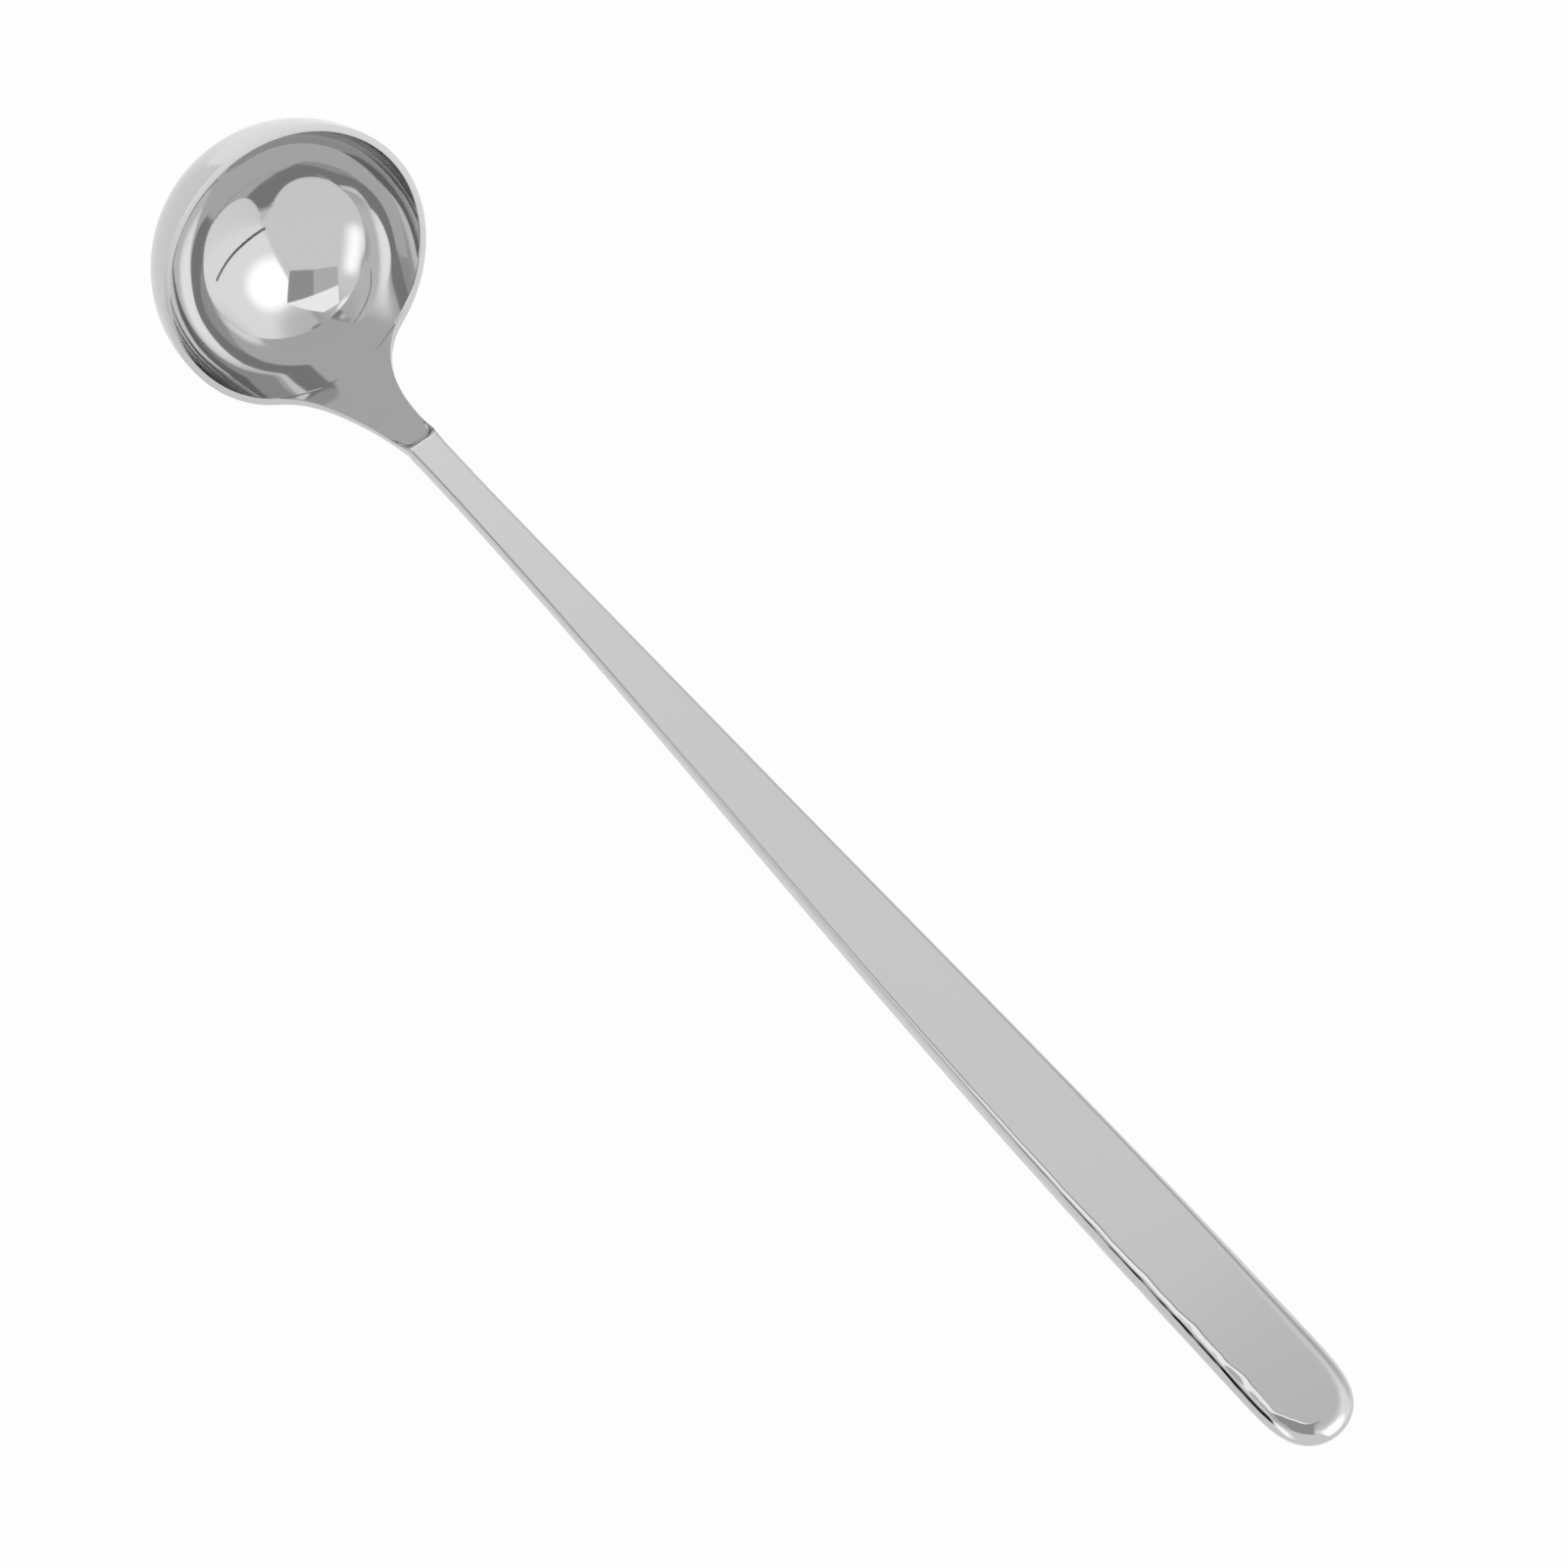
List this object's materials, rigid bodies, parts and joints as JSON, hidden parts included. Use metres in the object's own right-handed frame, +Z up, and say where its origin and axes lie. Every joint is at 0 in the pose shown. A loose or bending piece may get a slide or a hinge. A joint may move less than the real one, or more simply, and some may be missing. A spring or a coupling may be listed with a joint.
{
  "type": "soup ladle",
  "caption": "Polished stainless steel soup ladle with a deep round bowl, a dished neck and a long tapering hollow handle with a rounded tail.",
  "frame": {"origin": "middle of the ladle's length and width, on the table it lies on", "axes": "+X from the bowl along the handle to the tail, +Z up from the table, +Y to the left when looking from the bowl to the tail"},
  "size_m": [0.348, 0.062, 0.0601],
  "materials": {
    "bowl_steel": "mirror-polished pressed stainless sheet",
    "handle_steel": "mirror-polished stainless shell with faint lengthwise polishing lines",
    "weld_steel": "stainless weld ground flush and polished"
  },
  "bodies": {
    "root": {"bowl": "bowl_steel", "handle_top_shell": "handle_steel", "handle_bottom_shell": "handle_steel", "handle_seam_weld": "weld_steel", "neck_weld": "weld_steel"}
  },
  "joints": []
}
